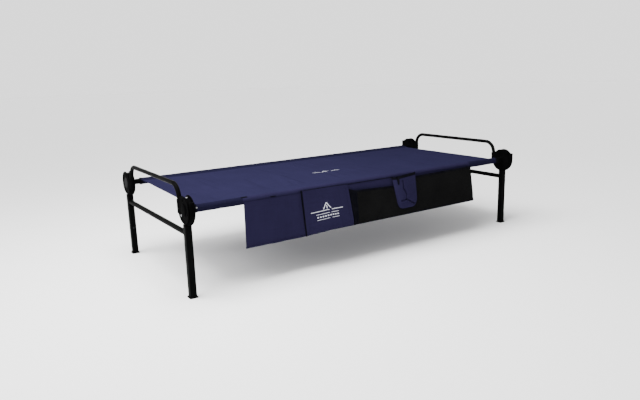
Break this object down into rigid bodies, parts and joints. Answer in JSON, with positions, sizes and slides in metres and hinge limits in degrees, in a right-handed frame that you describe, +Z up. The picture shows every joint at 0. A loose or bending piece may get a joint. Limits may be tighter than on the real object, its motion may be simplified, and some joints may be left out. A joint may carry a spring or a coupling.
{
  "type": "camp cot",
  "caption": "Low camp cot with a fabric deck stretched between side rails that drop into disc corners on two hooped end frames, with a pocketed organizer hung on one side.",
  "frame": {"origin": "on the floor, under the middle of the bed", "axes": "+X along the bed to the right as seen from the organizer's side, +Y across the bed away from the organizer, +Z up"},
  "size_m": [2.0394, 0.963, 0.496],
  "materials": {
    "frame_black": "satin black enamel on steel tube",
    "moulded_black": "fine-grained black moulded plastic",
    "foot_rubber": "matt black rubber",
    "rivet_silver": "bare steel, satin",
    "deck_navy": "woven polyester, matt, navy blue",
    "organizer_navy": "woven polyester, matt, dark navy blue",
    "mesh_black": "open polyester mesh, black",
    "print_white": "white ink print"
  },
  "bodies": {
    "deck": {"deck_fabric": "deck_navy", "organizer_header": "organizer_navy"},
    "organizer": {"organizer_flap": "organizer_navy", "pocket_print": "organizer_navy", "pocket_mesh": "mesh_black", "pocket_bottle": "organizer_navy"},
    "rail_left_front": {"rail_left_front": "frame_black", "spool_left_front": "moulded_black", "outer_disc_left_front": "moulded_black", "rivet_left_front_1": "rivet_silver", "rivet_left_front_2": "rivet_silver", "rivet_left_front_3": "rivet_silver"},
    "button_left_front": {"snap_button_left_front": "rivet_silver"},
    "rail_left_back": {"rail_left_back": "frame_black", "spool_left_back": "moulded_black", "outer_disc_left_back": "moulded_black", "rivet_left_back_1": "rivet_silver", "rivet_left_back_2": "rivet_silver", "rivet_left_back_3": "rivet_silver"},
    "button_left_back": {"snap_button_left_back": "rivet_silver"},
    "rail_right_front": {"rail_right_front": "frame_black", "spool_right_front": "moulded_black", "outer_disc_right_front": "moulded_black", "rivet_right_front_1": "rivet_silver", "rivet_right_front_2": "rivet_silver", "rivet_right_front_3": "rivet_silver", "rail_connector_front": "frame_black"},
    "button_right_front": {"snap_button_right_front": "rivet_silver"},
    "rail_right_back": {"rail_right_back": "frame_black", "spool_right_back": "moulded_black", "outer_disc_right_back": "moulded_black", "rivet_right_back_1": "rivet_silver", "rivet_right_back_2": "rivet_silver", "rivet_right_back_3": "rivet_silver", "rail_connector_back": "frame_black"},
    "button_right_back": {"snap_button_right_back": "rivet_silver"},
    "end_frame_left": {"crossbar_left": "frame_black", "hoop_left": "frame_black", "hoop_bend_left_front": "frame_black", "hoop_bend_left_back": "frame_black", "leg_left_front": "frame_black", "leg_extension_left_front": "frame_black", "foot_cap_left_front": "foot_rubber", "saddle_left_front": "moulded_black", "leg_left_back": "frame_black", "leg_extension_left_back": "frame_black", "foot_cap_left_back": "foot_rubber", "saddle_left_back": "moulded_black"},
    "end_frame_right": {"crossbar_right": "frame_black", "hoop_right": "frame_black", "hoop_bend_right_front": "frame_black", "hoop_bend_right_back": "frame_black", "leg_right_front": "frame_black", "leg_extension_right_front": "frame_black", "foot_cap_right_front": "foot_rubber", "saddle_right_front": "moulded_black", "leg_right_back": "frame_black", "leg_extension_right_back": "frame_black", "foot_cap_right_back": "foot_rubber", "saddle_right_back": "moulded_black"}
  },
  "joints": [
    {"name": "rail_left_front_pull", "type": "slide", "parent": "deck", "child": "rail_left_front", "axis": [-1, 0, 0], "range_m": [0, 0.9]},
    {"name": "rail_left_back_pull", "type": "slide", "parent": "deck", "child": "rail_left_back", "axis": [-1, 0, 0], "range_m": [0, 0.9]},
    {"name": "end_frame_left_drop", "type": "slide", "parent": "rail_left_front", "child": "end_frame_left", "axis": [0, 0, -1], "range_m": [0, 0.095]},
    {"name": "button_left_front_press", "type": "slide", "parent": "end_frame_left", "child": "button_left_front", "axis": [0, -1, 0], "range_m": [0, 0.0042], "stiffness_N_per_m": 300},
    {"name": "button_left_back_press", "type": "slide", "parent": "end_frame_left", "child": "button_left_back", "axis": [0, 1, 0], "range_m": [0, 0.0042], "stiffness_N_per_m": 300},
    {"name": "rail_right_front_pull", "type": "slide", "parent": "deck", "child": "rail_right_front", "axis": [1, 0, 0], "range_m": [0, 0.9]},
    {"name": "rail_right_back_pull", "type": "slide", "parent": "deck", "child": "rail_right_back", "axis": [1, 0, 0], "range_m": [0, 0.9]},
    {"name": "end_frame_right_drop", "type": "slide", "parent": "rail_right_front", "child": "end_frame_right", "axis": [0, 0, -1], "range_m": [0, 0.095]},
    {"name": "button_right_front_press", "type": "slide", "parent": "end_frame_right", "child": "button_right_front", "axis": [0, -1, 0], "range_m": [0, 0.0042], "stiffness_N_per_m": 300},
    {"name": "button_right_back_press", "type": "slide", "parent": "end_frame_right", "child": "button_right_back", "axis": [0, 1, 0], "range_m": [0, 0.0042], "stiffness_N_per_m": 300},
    {"name": "organizer_swing", "type": "hinge", "parent": "deck", "child": "organizer", "pos_m": [0, -0.4292, 0.385], "axis": [-1, 0, 0], "range_deg": [0, 100]}
  ],
  "couplings": [
    {"joint": "rail_left_back_pull", "follows": "rail_left_front_pull", "ratio": 1},
    {"joint": "rail_right_back_pull", "follows": "rail_right_front_pull", "ratio": 1}
  ]
}
